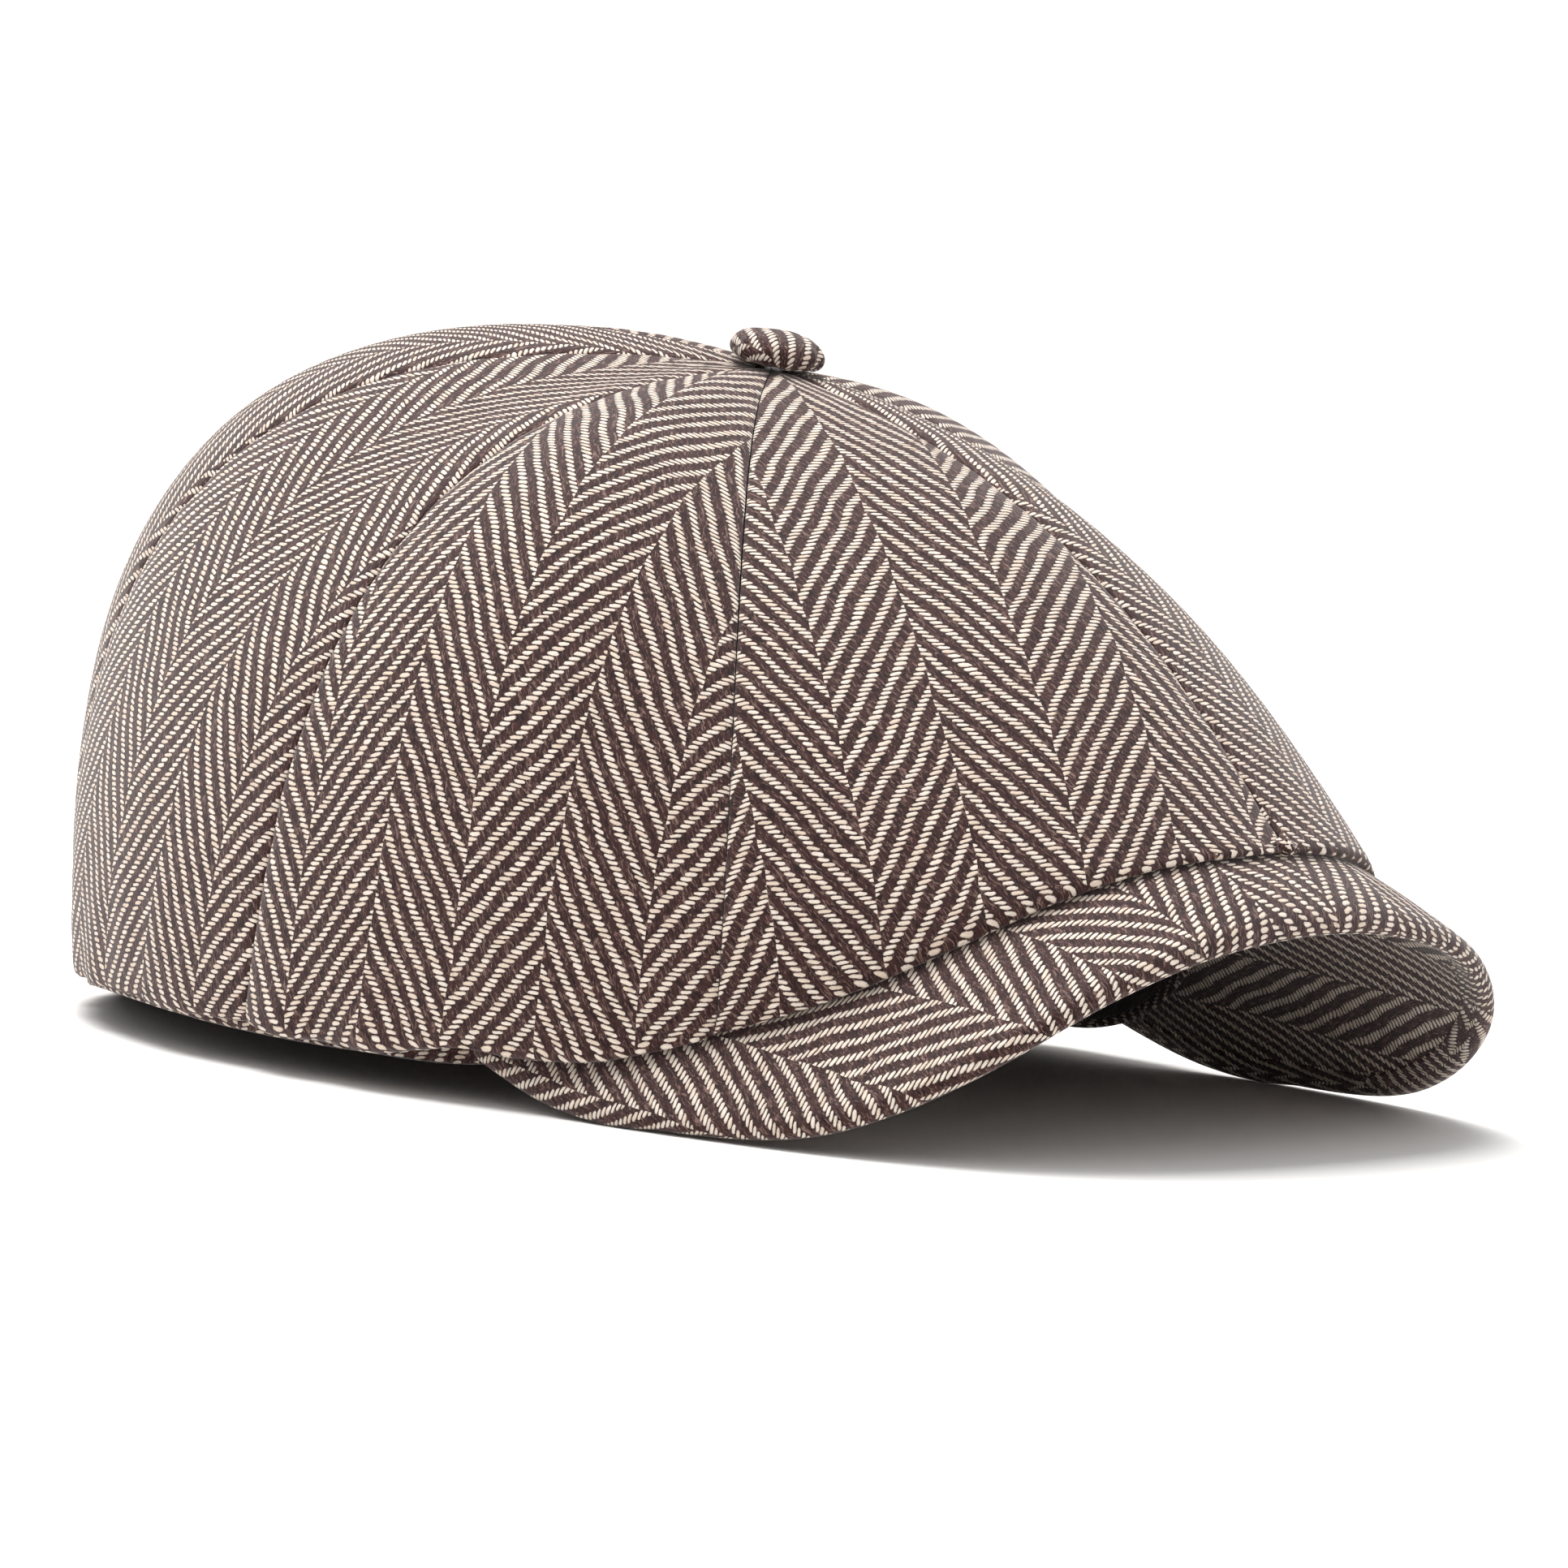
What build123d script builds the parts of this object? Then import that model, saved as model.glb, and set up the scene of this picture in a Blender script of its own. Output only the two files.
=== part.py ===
"""Newsboy cap: an eight-panel crown turned under onto a head band, an arched peak, a covered button, a lining.

Millimetres, +Z up. The peak points toward -Y and the wearer's left is +X. The origin is the centre of the head
opening, on the plane the cap rests on: the back of the band and the two side corners of the peak stand on it.
"""

import os
from math import cos, pi, radians, sin, sqrt

from build123d import *

# Head opening and the layers of the band round it, from the head outward
OPENING_HALF_WIDTH = 82.0
OPENING_HALF_LENGTH = 99.0
SWEATBAND_THICKNESS = 1.0
TAPE_THICKNESS = 0.8
BAND_THICKNESS = 1.4
LAYER_GAP = 0.1
SWEATBAND_LIFT = 1.5
FLAT_POINTS = 3
TAPE_MARGIN = 3.0
# (y, z) of the band's lower and upper edges: flat where it rests at the back, arched up over the forehead
BAND_LOWER = [
    (110, 0), (103, 0), (97, 0), (88, 2.3), (76, 4.4), (60, 5.6), (40, 5.6), (15, 4.9), (-10, 4.6), (-37, 5.2),
    (-60, 13), (-84, 31), (-103, 48), (-112, 56),
]
BAND_UPPER = [(110, 31), (60, 32), (0, 36), (-37, 38), (-70, 51), (-103, 70), (-112, 76)]

# Crown: each meridian is a cubic curve from the apex to the lower fold; triples are (front, side, back)
APEX_Y = -20.0
APEX_Z = 118.6
RIM_HALF_WIDTH = 92.0
RIM_HALF_LENGTH = 120.5
RIM_CENTRE_Y = -16.0
RIM_LEVEL = (8.0, 6.4, 1.9)
RIM_LEVEL_BACK = 2.9
RIM_CORNER = 1.0
TOP_REACH = (76.3, 39.7, 95.5)
TOP_SLOPE = (0.18, 0.07, -0.17)
TOP_REACH_SHOULDER = -14.4
RIM_BULGE = (-14.1, -4.8, 21.2)
RIM_BULGE_SHOULDER = 3.6
RIM_RISE = (11.8, 100.9, 98.9)
RIM_RISE_SHOULDER = -33.2
CLOTH = 1.6
SEAM_GAP = 0.12
SEAM_ANGLES = (0, 57, 102, 146, 180)
PANEL_NAMES = ("front", "side_front", "side_back", "back")
EYE_RADIUS = 3.0
GORE_COLUMNS = 5
GORE_ROWS = 9
ROW_CROWDING = 0.85
HEM_ROWS = 4
HEM = 1.2
RIM_CLEARANCE = 1.9
HEM_CLEARANCE = 1.0
HEM_GAP = 0.5
HEM_LEAST_WIDTH = 1.0
HEM_TIP_CLEARANCE = 0.02

# Lining: the same eight gores, hung just inside the crown and caught at the top of the band
LINING = 0.5
LINING_DROP = 4.5
LINING_END = (0.42, 0.5, 0.6)
LINING_EDGE = 0.8

# Peak: a crescent bent over an arch, with its front edge drooping
PEAK_TOP_Z = 51.6
PEAK_ARCH = 0.0070
ARCH_CHANGE_Y = -77.0
ARCH_CHANGE_LENGTH = 68.7
ARCH_TIGHTEN = 0.00169
ARCH_OPEN = 0.00395
ARCH_OPEN_POWER = 5
TIP_RISE = 0.0034
TIP_RISE_START_Y = -80.0
PEAK_TIP_Y = -34.0
PEAK_BACK_FALL = 0.1
DROOP_START_Y = -100.0
DROOP = 1.45e-4
BOARD = 1.6
PEAK_CLOTH = 1.2
PEAK_CLEARANCE = 1.6
EDGE_TURN = 1.6
PEAK_EDGE = [(0, -146.2), (26, -145), (48.6, -140.4), (66.5, -129.5), (79, -108.5), (85.3, -79), (86.4, -58), (85, -38)]
PEAK_MIDDLE_Y = -60.0
SECTION_HALF_WIDTH = 96.0
SECTION_STEPS = 8
SECTION_YS = (-20, -40, -60, -80, -100, -120, -140, -160)

# Covered button
BUTTON_RADIUS = 8.0
BUTTON_HEIGHT = 5.4
BUTTON_EDGE = 2.2
BUTTON_CLOTH = 0.9
BUTTON_SHELL = 0.6
BUTTON_TILT = 10.0
BACK_THICKNESS = 1.0
SHANK_RADIUS = 1.6
SHANK_LENGTH = 5.0
KNOT_RADIUS = 3.4
KNOT_HEIGHT = 1.2
KNOT_GAP = 0.4
BUTTON_LIFT = 0.5

WIDE = 200.0


def around(theta, front, side, back):
    """A size that passes smoothly from front to side to back of the crown."""
    c = cos(theta)
    return side * sin(theta) ** 2 + (front * (1 + c) + back * (1 - c)) / 2 * c * c


def shoulder(theta):
    """1 halfway between front and side, 0 at the front, sides and back."""
    return sin(2 * theta) ** 2 * (1 + cos(theta)) / 2


def bezier(poles, t):
    """The point at t on a cubic curve."""
    a, b, c, d = poles
    return a * (1 - t) ** 3 + b * (3 * t * (1 - t) ** 2) + c * (3 * t * t * (1 - t)) + d * t**3


def smooth_max(a, b, width=3.0):
    return (a + b + sqrt((a - b) ** 2 + width**2)) / 2


def droop(y):
    """How far the peak's sheet lies below its arch: down at the front edge, up toward the back tips."""
    return DROOP * max(0.0, DROOP_START_Y - y) ** 3 - TIP_RISE * max(0.0, y - TIP_RISE_START_Y) ** 2


def arch(y):
    """How sharply the peak is bent from side to side at y: most at its two corners, least at its front edge."""
    share = min(1.0, max(0.0, (ARCH_CHANGE_Y - y) / ARCH_CHANGE_LENGTH))
    return PEAK_ARCH + ARCH_TIGHTEN * share - ARCH_OPEN * share**ARCH_OPEN_POWER


def arch_point(x, y, offset):
    """A point of the peak's bent sheet, moved off its middle across the arch."""
    slope = -2 * arch(y) * x
    length = sqrt(1 + slope**2)
    z = PEAK_TOP_Z - arch(y) * x * x - droop(y)
    return Vector(x - slope / length * offset, y, z + offset / length)


def peak_top(x, y):
    """Height of the peak's upper face, carried on steeply down behind its two back tips."""
    slope = 2 * arch(y) * x
    fall = PEAK_BACK_FALL * max(0.0, y - PEAK_TIP_Y) ** 2
    return PEAK_TOP_Z - arch(y) * x * x - droop(y) - fall + PEAK_HALF * sqrt(1 + slope**2)


PEAK_HALF = BOARD / 2 + PEAK_CLOTH + LAYER_GAP


def back_corner(theta):
    """1 halfway between side and back, 0 at the front, sides and back."""
    return sin(2 * theta) ** 2 * (1 - cos(theta)) / 2


def rim_level(theta):
    """Height of the lower fold where no peak lifts it: lowest at the back, a little raised behind the ears."""
    return around(theta, *RIM_LEVEL) + RIM_LEVEL_BACK * back_corner(theta)


def rim_point(theta, inset=0.0):
    """A point on the crown's lower fold, or inside it by inset."""
    inset -= RIM_CORNER * back_corner(theta)
    x = (RIM_HALF_WIDTH - inset) * sin(theta)
    y = RIM_CENTRE_Y - (RIM_HALF_LENGTH - inset) * cos(theta)
    return Vector(x, y, smooth_max(rim_level(theta), peak_top(x, y) + RIM_CLEARANCE))


def crown_poles(theta):
    out = Vector(sin(theta), -cos(theta), 0)
    s = shoulder(theta)
    apex, rim = Vector(0, APEX_Y, APEX_Z), rim_point(theta)
    reach = around(theta, *TOP_REACH) + TOP_REACH_SHOULDER * s
    bulge = around(theta, *RIM_BULGE) + RIM_BULGE_SHOULDER * s
    rise = around(theta, *RIM_RISE) + RIM_RISE_SHOULDER * s
    first = apex + out * reach - Vector(0, 0, reach * around(theta, *TOP_SLOPE))
    return apex, first, rim + out * bulge + Vector(0, 0, rise), rim


def crown_point(theta, t):
    return bezier(crown_poles(theta), t)


def lining_point(theta, t):
    """Inside the crown by LINING_DROP, drawn in to the top edge of the band."""
    p = crown_point(theta, t * around(theta, *LINING_END))
    p = p + (Vector(0, APEX_Y, APEX_Z / 4) - p).normalized() * LINING_DROP
    half_width = OPENING_HALF_WIDTH + LINING_EDGE
    half_length = OPENING_HALF_LENGTH + LINING_EDGE
    x, y = half_width * sin(theta), -half_length * cos(theta)
    edge = Vector(x, y, height_on(BAND_UPPER, y) + LINING_EDGE)
    return p + (edge - p) * t**3


def height_on(profile, y):
    """Height of a band edge at y, by straight lines between its points."""
    for (y0, z0), (y1, z1) in zip(profile, profile[1:]):
        if y1 <= y <= y0:
            return z0 + (z1 - z0) * (y0 - y) / (y0 - y1)
    return profile[-1][1]


def gore_face(point_of, start, end):
    """One gore as a surface through points on its meridians, open at the eye round the button."""
    grid = []
    for i in range(GORE_COLUMNS):
        theta = start + (end - start) * i / (GORE_COLUMNS - 1)
        eye = EYE_RADIUS / (3 * around(theta, *TOP_REACH))
        steps = [(j / (GORE_ROWS - 1)) ** ROW_CROWDING for j in range(GORE_ROWS)]
        grid.append([point_of(theta, eye + (1 - eye) * step) for step in steps])
    return Face.make_surface_from_array_of_points(grid)


def hem_face(start, end):
    """The turned-under hem of one gore, from the fold in to the band."""
    grid = []
    for i in range(GORE_COLUMNS):
        theta = start + (end - start) * i / (GORE_COLUMNS - 1)
        outer = rim_point(theta, inset=0.4)
        reach = sqrt(outer.X**2 + outer.Y**2)
        half_width = OPENING_HALF_WIDTH + BAND_STACK + HEM_GAP
        half_length = OPENING_HALF_LENGTH + BAND_STACK + HEM_GAP
        to_band = reach / sqrt((outer.X / half_width) ** 2 + (outer.Y / half_length) ** 2)
        inward = min(to_band, reach - HEM_LEAST_WIDTH) / reach
        x, y = outer.X * inward, outer.Y * inward
        inner = Vector(x, y, outer.Z)
        row = []
        for j in range(HEM_ROWS):
            share = j / (HEM_ROWS - 1)
            p = outer + (inner - outer) * share
            floor = height_on(BAND_LOWER, y) + 2.0
            level = rim_level(theta) * (1 - share) + floor * share
            clearance = HEM_CLEARANCE + HEM_TIP_CLEARANCE * max(0.0, p.Y - DROOP_START_Y)
            row.append(Vector(p.X, p.Y, smooth_max(level, peak_top(p.X, p.Y) + clearance)))
        grid.append(row)
    return Face.make_surface_from_array_of_points(grid)


BAND_STACK = SWEATBAND_THICKNESS + TAPE_THICKNESS + BAND_THICKNESS + 3 * LAYER_GAP


def thick(face, amount, inward):
    """The face made solid, growing to the side where inward points from its middle."""
    normal = face.normal_at()
    return Solid.thicken(face, amount if normal.dot(inward) > 0 else -amount)


def band_prism(lower_lift, upper_drop):
    """Everything between the band's lower and upper edges, seen from the side."""
    low = [(y, z + lower_lift) for y, z in BAND_LOWER]
    high = [(y, z - upper_drop) for y, z in BAND_UPPER]
    flat = Line(low[0], low[FLAT_POINTS - 1])
    lower = Spline(*low[FLAT_POINTS - 1 :], tangents=((-1, 0), (-1, 0.8)))
    upper = Spline(*reversed(high))
    ends = Line(low[-1], high[-1]), Line(high[0], low[0])
    side = make_face(Wire([flat, lower, ends[0], upper, ends[1]]))
    return extrude(Plane.YZ * side, WIDE / 2, both=True)


def opening_ring(inner_margin, thickness, lower_lift=0.0, upper_drop=0.0):
    """One layer of the band: an oval tube that starts inner_margin outside the head opening."""
    a, b = OPENING_HALF_WIDTH + inner_margin, OPENING_HALF_LENGTH + inner_margin
    section = Ellipse(a + thickness, b + thickness) - Ellipse(a, b)
    return Pos(0, 0, -WIDE / 4) * extrude(section, WIDE) & band_prism(lower_lift, upper_drop)


def peak_plan(inset=0.0, inner_clearance=None):
    """The peak's outline from above as an upright block, cut away at the band unless it runs on under it."""
    scale_x, scale_y = 1 - inset / PEAK_EDGE[-2][0], 1 - inset / (PEAK_MIDDLE_Y - PEAK_EDGE[0][1])
    half = [(x * scale_x, PEAK_MIDDLE_Y + (y - PEAK_MIDDLE_Y) * scale_y) for x, y in PEAK_EDGE]
    points = [(-x, y) for x, y in reversed(half[1:])] + half
    edge = Spline(*points)
    block = Pos(0, 0, -WIDE / 4) * extrude(make_face(Wire([edge, Line(edge @ 1, edge @ 0)])), WIDE)
    if inner_clearance is None:
        return block
    grow = BAND_STACK + inner_clearance
    hole = Ellipse(OPENING_HALF_WIDTH + grow, OPENING_HALF_LENGTH + grow)
    return block - Pos(0, 0, -WIDE / 4) * extrude(hole, WIDE)


def peak_sheet(low, high):
    """The bent sheet between two offsets from its middle, wider and longer than the peak."""
    sections = []
    for y in SECTION_YS:
        xs = [SECTION_HALF_WIDTH * (i / SECTION_STEPS - 1) for i in range(2 * SECTION_STEPS + 1)]
        top = Spline(*[arch_point(x, y, high) for x in xs])
        bottom = Spline(*[arch_point(x, y, low) for x in reversed(xs)])
        ends = Line(top @ 1, bottom @ 0), Line(bottom @ 1, top @ 0)
        sections.append(Face(Wire([top, ends[0], bottom, ends[1]])))
    return loft(sections)


def peak_parts():
    inner = BOARD / 2 + LAYER_GAP
    board_inset = EDGE_TURN + LAYER_GAP
    filling = peak_sheet(-SECTION_HALF_WIDTH / 8, inner) & peak_plan(EDGE_TURN)
    top = (peak_sheet(-PEAK_HALF, PEAK_HALF) & peak_plan(0, PEAK_CLEARANCE)) - filling
    under = peak_sheet(-PEAK_HALF, -inner) & peak_plan(board_inset, PEAK_CLEARANCE)
    board = peak_sheet(-BOARD / 2, BOARD / 2) & peak_plan(board_inset, PEAK_CLEARANCE + 1)
    above_rest_plane = Pos(0, 0, WIDE) * Box(2 * WIDE, 2 * WIDE, 2 * WIDE)
    made = {"peak_top_cloth": top, "peak_under_cloth": under, "peak_board": board}
    return {name: shape & above_rest_plane for name, shape in made.items()}


def dome(radius, height, edge):
    """A round cushion shape: an upright edge under a domed top."""
    side = Line((radius, 0), (radius, edge))
    top = Spline((radius, edge), (radius * 0.78, height * 0.86), (0, height), tangents=((0, 1), (-1, 0)))
    profile = make_face(Wire([Line((0, 0), (radius, 0)), side, top, Line((0, height), (0, 0))]))
    return revolve(Plane.XZ * profile, Axis.Z)


def button_parts():
    shell_radius = BUTTON_RADIUS - BUTTON_CLOTH - LAYER_GAP
    shell_top = BUTTON_HEIGHT - BUTTON_CLOTH - LAYER_GAP
    inner_radius = shell_radius - BUTTON_SHELL
    outer = dome(BUTTON_RADIUS, BUTTON_HEIGHT, BUTTON_EDGE)
    hollow = Pos(0, 0, BUTTON_CLOTH) * dome(shell_radius + LAYER_GAP, shell_top + LAYER_GAP - BUTTON_CLOTH, BUTTON_EDGE)
    mouth = Pos(0, 0, BUTTON_CLOTH / 2) * Cylinder(inner_radius - LAYER_GAP, BUTTON_CLOTH)
    cloth = outer - hollow - mouth
    base = BUTTON_CLOTH + LAYER_GAP
    shell = Pos(0, 0, base) * (
        dome(shell_radius, shell_top - base, BUTTON_EDGE)
        - dome(inner_radius, shell_top - base - BUTTON_SHELL, BUTTON_EDGE - BUTTON_SHELL)
    )
    disc = Pos(0, 0, base + BACK_THICKNESS / 2) * Cylinder(inner_radius - LAYER_GAP, BACK_THICKNESS)
    shank = Pos(0, 0, base - SHANK_LENGTH / 2) * Cylinder(SHANK_RADIUS, SHANK_LENGTH)
    eye = Pos(0, 0, base - SHANK_LENGTH + SHANK_RADIUS) * Rot(0, 90, 0) * Cylinder(SHANK_RADIUS / 2, WIDE / 10)
    back = disc + shank - eye
    coil = Cylinder(KNOT_RADIUS, KNOT_HEIGHT) - Cylinder(SHANK_RADIUS + LAYER_GAP / 2, 2 * KNOT_HEIGHT)
    knot = Pos(0, 0, -CLOTH - BUTTON_LIFT - KNOT_HEIGHT / 2 - KNOT_GAP) * coil
    place = Pos(0, APEX_Y, APEX_Z) * Rot(BUTTON_TILT, 0, 0) * Pos(0, 0, BUTTON_LIFT)
    made = {"button_cloth": cloth, "button_shell": shell, "button_back": back, "button_thread": knot}
    return {name: place * shape for name, shape in made.items()}


def gore_parts():
    """Crown panels with their hems, and lining gores, left and right from front to back."""
    made = {}
    middle = Vector(0, APEX_Y, APEX_Z / 3)
    gap = SEAM_GAP / RIM_HALF_LENGTH
    for side, sign in (("left", 1), ("right", -1)):
        for name, first, last in zip(PANEL_NAMES, SEAM_ANGLES, SEAM_ANGLES[1:]):
            start, end = sign * (radians(first) + gap), sign * (radians(last) - gap)
            outer = gore_face(crown_point, start, end)
            hem = thick(hem_face(start, end), HEM, Vector(0, 0, 1))
            made[f"crown_{name}_{side}"] = thick(outer, CLOTH, middle - outer.center()) + hem
            inner = gore_face(lining_point, start, end)
            made[f"lining_{name}_{side}"] = thick(inner, LINING, middle - inner.center())
    return made


def band_parts():
    tape_start = SWEATBAND_THICKNESS + LAYER_GAP
    band_start = tape_start + TAPE_THICKNESS + LAYER_GAP
    return {
        "sweatband": opening_ring(0, SWEATBAND_THICKNESS, SWEATBAND_LIFT, SWEATBAND_LIFT),
        "band_tape": opening_ring(tape_start, TAPE_THICKNESS, TAPE_MARGIN, TAPE_MARGIN),
        "head_band": opening_ring(band_start, BAND_THICKNESS),
    }


def main():
    os.makedirs("parts", exist_ok=True)
    for name, shape in {**gore_parts(), **band_parts(), **peak_parts(), **button_parts()}.items():
        shape.label = name
        export_step(shape, f"parts/{name}.step")


main()
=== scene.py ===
"""Newsboy cap: the sewn cloth, linings, bands, peak and covered button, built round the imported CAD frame.

Shapes are worked out in millimetres in the frame's own axes (+Z up, peak toward -Y) and put down in metres.
"""

from functools import partial
from math import atan2, cos, exp, pi, radians, sin, sqrt

import bmesh
import bpy
import numpy as np
from bpy.props import FloatProperty, FloatVectorProperty, IntProperty, PointerProperty
from bpy.types import Operator, Panel, PropertyGroup
from mathutils import Matrix, Vector, noise


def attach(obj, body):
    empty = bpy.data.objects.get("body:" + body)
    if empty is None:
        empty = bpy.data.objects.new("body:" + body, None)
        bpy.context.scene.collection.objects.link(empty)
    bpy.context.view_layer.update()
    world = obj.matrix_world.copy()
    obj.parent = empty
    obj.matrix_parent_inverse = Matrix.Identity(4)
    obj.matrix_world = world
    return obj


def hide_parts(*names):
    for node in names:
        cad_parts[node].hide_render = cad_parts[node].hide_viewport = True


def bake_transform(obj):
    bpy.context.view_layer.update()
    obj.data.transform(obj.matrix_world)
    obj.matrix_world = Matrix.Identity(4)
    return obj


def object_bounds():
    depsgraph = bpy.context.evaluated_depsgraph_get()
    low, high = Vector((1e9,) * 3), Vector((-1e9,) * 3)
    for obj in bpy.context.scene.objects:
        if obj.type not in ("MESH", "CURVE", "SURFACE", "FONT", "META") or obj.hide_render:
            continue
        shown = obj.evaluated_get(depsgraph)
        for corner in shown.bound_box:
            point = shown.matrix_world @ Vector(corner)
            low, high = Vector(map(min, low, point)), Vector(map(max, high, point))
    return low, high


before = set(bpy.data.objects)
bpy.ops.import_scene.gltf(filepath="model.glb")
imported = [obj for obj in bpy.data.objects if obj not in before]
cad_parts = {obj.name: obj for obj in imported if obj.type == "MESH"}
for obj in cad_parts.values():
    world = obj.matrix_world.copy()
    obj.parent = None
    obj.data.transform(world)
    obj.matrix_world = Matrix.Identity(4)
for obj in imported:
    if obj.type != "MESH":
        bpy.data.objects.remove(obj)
CAD_BOX = [list(corner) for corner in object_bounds()]

bl_info = {
    "name": "Newsboy cap",
    "version": (1, 0, 0),
    "blender": (4, 5, 0),
    "location": "View3D > Sidebar > Newsboy cap",
    "description": "Builds a herringbone newsboy cap round its CAD frame",
    "category": "Object",
}

MM = 0.001

# Head band: (y, z) along its lower and upper edges, and the layers outward from the head
OPENING = (82.0, 99.0)
BAND_STACK = 3.5
BAND_LOWER = [
    (110, 0), (103, 0), (97, 0), (88, 2.3), (76, 4.4), (60, 5.6), (40, 5.6),
    (15, 4.9), (-10, 4.6), (-37, 5.2), (-60, 13), (-84, 31), (-103, 48), (-112, 56),
]
BAND_UPPER = [(110, 31), (60, 32), (0, 36), (-37, 38), (-70, 51), (-103, 70), (-112, 76)]

# Crown meridians from the apex to the lower fold; triples are (front, side, back).
# SHOULDER adds to reach, bulge and rise halfway between front and side.
APEX = Vector((0, -20, 118.6))
RIM_HALF = (92.0, 120.5)
RIM_CENTRE_Y = -16.0
RIM_LEVEL = (8.0, 6.4, 1.9)
RIM_LEVEL_BACK = 2.9
RIM_CORNER = 1.0
TOP_REACH = (76.3, 39.7, 95.5)
TOP_SLOPE = (0.18, 0.07, -0.17)
RIM_BULGE = (-14.1, -4.8, 21.2)
RIM_RISE = (11.8, 100.9, 98.9)
SHOULDER = (-14.4, 3.6, -33.2)
GORES = (("front", 0, 57), ("side_front", 57, 102), ("side_back", 102, 146), ("back", 146, 180))
EYE_RADIUS = 3.0
FOLD_CLEARANCE = 0.9
HEM_CLEARANCE = 0.6
HEM_CLEARANCE_GROWTH = 0.02
HEM_LIFT = 2.0
LINING_END = (0.42, 0.5, 0.6)
LINING_DROP = 4.5
LINING_GAP = 0.8
LINING_CENTRE = Vector((0, APEX.y, APEX.z / 4))

# Peak: a sheet bent over an arch, its front edge drooping and its back tips rising
PEAK_TOP_Z = 51.6
PEAK_ARCH = 0.0070
ARCH_CHANGE = (-77.0, 68.7)
ARCH_TIGHTEN = 0.00169
ARCH_OPEN = 0.00395
PEAK_HALF = 2.1
DROOP = (-100.0, 1.45e-4)
TIP_RISE = (-80.0, 0.0034)
BACK_FALL = (-34.0, 0.1)
PEAK_EDGE = [
    (0, -146.2), (26, -145), (48.6, -140.4), (66.5, -129.5),
    (79, -108.5), (85.3, -79), (86.4, -58), (85, -38),
]

# Weave of the tweed: yarn spacings, ends in one herringbone leg and picks in one repeat.
# Patterns start WEAVE_START along, a whole number of legs, so that no coordinate is below zero.
END = 0.625
PICK = 0.91
LEG_ENDS = 27
REPEAT = 6.0
LEG = END * LEG_ENDS
WEAVE_START = 40 * LEG


def linear(code):
    """An sRGB hex colour as linear RGBA."""
    parts = [int(code[i : i + 2], 16) / 255 for i in (1, 3, 5)]
    return tuple(c / 12.92 if c <= 0.04045 else ((c + 0.055) / 1.055) ** 2.4 for c in parts) + (1.0,)


class CapSizes(PropertyGroup):
    """Sizes of the sewn cloth."""

    cloth: FloatProperty(
        name="Cloth thickness", description="Thickness of the tweed", default=0.0013, unit="LENGTH"
    )
    seam_depth: FloatProperty(
        name="Seam depth", description="How deep the seams sink", default=0.0009, unit="LENGTH"
    )
    puff: FloatProperty(
        name="Puff", description="How far the gores rise between seams", default=0.0005, unit="LENGTH"
    )
    fold: FloatProperty(
        name="Fold", description="Width of the rolled lower fold", default=0.0034, unit="LENGTH"
    )
    columns: IntProperty(name="Columns", description="Faces across the middle of a gore", default=26, min=8)
    rows: IntProperty(name="Rows", description="Faces from the button to the fold", default=62, min=16)


COLOUR = {"subtype": "COLOR", "size": 4}


class CapColours(PropertyGroup):
    """Colours of the tweed's yarns."""

    cream: FloatVectorProperty(
        name="Cream yarn", description="Light weft", default=linear("#f4e5d7"), **COLOUR
    )
    straw: FloatVectorProperty(
        name="Straw yarn", description="Yellower floats of the weft", default=linear("#e6d0bb"), **COLOUR
    )
    brown: FloatVectorProperty(
        name="Brown yarn", description="Dark warp", default=linear("#412624"), **COLOUR
    )
    umber: FloatVectorProperty(
        name="Umber yarn", description="Deeper fibres of the dark warp", default=linear("#1d100f"), **COLOUR
    )
    heather: FloatVectorProperty(
        name="Heather fibres", description="Pale loose warp fibres", default=linear("#8a6e66"), **COLOUR
    )


class StageSizes(PropertyGroup):
    """Lights and sky."""

    key: FloatProperty(
        name="Key light", description="Power of the large overhead light", default=38.0, unit="POWER"
    )
    fill: FloatProperty(
        name="Fill light", description="Power of the low light on the left", default=0.9, unit="POWER"
    )
    sky: FloatProperty(name="Surroundings", description="Brightness of the sky overhead", default=0.9)


# ---- shape of the cap ----


def around(theta, front, side, back):
    """A size that passes smoothly from front to side to back of the crown."""
    c = cos(theta)
    return side * sin(theta) ** 2 + (front * (1 + c) + back * (1 - c)) / 2 * c * c


def smooth_max(a, b, width=3.0):
    return (a + b + sqrt((a - b) ** 2 + width**2)) / 2


def smooth_step(x):
    x = min(1.0, max(0.0, x))
    return x * x * (3 - 2 * x)


def between(p0, p1, p2, p3, s):
    """A smooth curve from p1 to p2, s from 0 to 1, given the points either side of them."""
    second = p0 * 2 - p1 * 5 + p2 * 4 - p3
    third = p1 * 3 - p0 - p2 * 3 + p3
    return (p1 * 2 + (p2 - p0) * s + second * s**2 + third * s**3) / 2


def height_on(profile, y):
    """Height of a band edge at y, smooth between its points."""
    for k, ((y0, z0), (y1, z1)) in enumerate(zip(profile, profile[1:])):
        if y1 <= y <= y0:
            before = profile[max(0, k - 1)][1]
            after = profile[min(len(profile) - 1, k + 2)][1]
            return between(before, z0, z1, after, (y0 - y) / (y0 - y1))
    return profile[-1][1] if y < profile[-1][0] else profile[0][1]


def arch(y):
    """How sharply the peak is bent from side to side at y: most at its corners, least at its front edge."""
    share = min(1.0, max(0.0, (ARCH_CHANGE[0] - y) / ARCH_CHANGE[1]))
    return PEAK_ARCH + ARCH_TIGHTEN * share - ARCH_OPEN * share**5


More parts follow.
